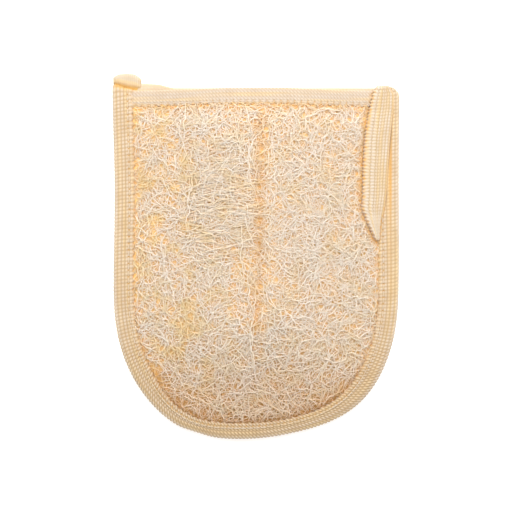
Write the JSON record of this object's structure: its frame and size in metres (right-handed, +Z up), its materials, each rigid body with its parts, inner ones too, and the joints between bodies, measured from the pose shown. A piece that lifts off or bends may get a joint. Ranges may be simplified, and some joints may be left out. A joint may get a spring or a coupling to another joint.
{
  "type": "loofah bath mitt",
  "caption": "Bath mitt with a natural loofah face, a terry cloth back, woven tape bindings and a hanging loop, lying flat with the loofah side up.",
  "frame": {"origin": "centre of the mitt's footprint, on the surface that it lies on", "axes": "+Z up out of the loofah face, +Y towards the mouth that the hand goes into, +X to the side with the hanging loop"},
  "size_m": [0.1498, 0.1898, 0.0233],
  "materials": {
    "loofah": "dry, pale plant fibre",
    "terry": "cotton terry loops",
    "tape": "woven cotton tape"
  },
  "bodies": {
    "root": {"loofah_face": "loofah", "back_cloth": "terry", "side_binding": "tape", "front_mouth_binding": "tape", "back_mouth_binding": "tape", "hanging_loop": "tape"}
  },
  "joints": []
}
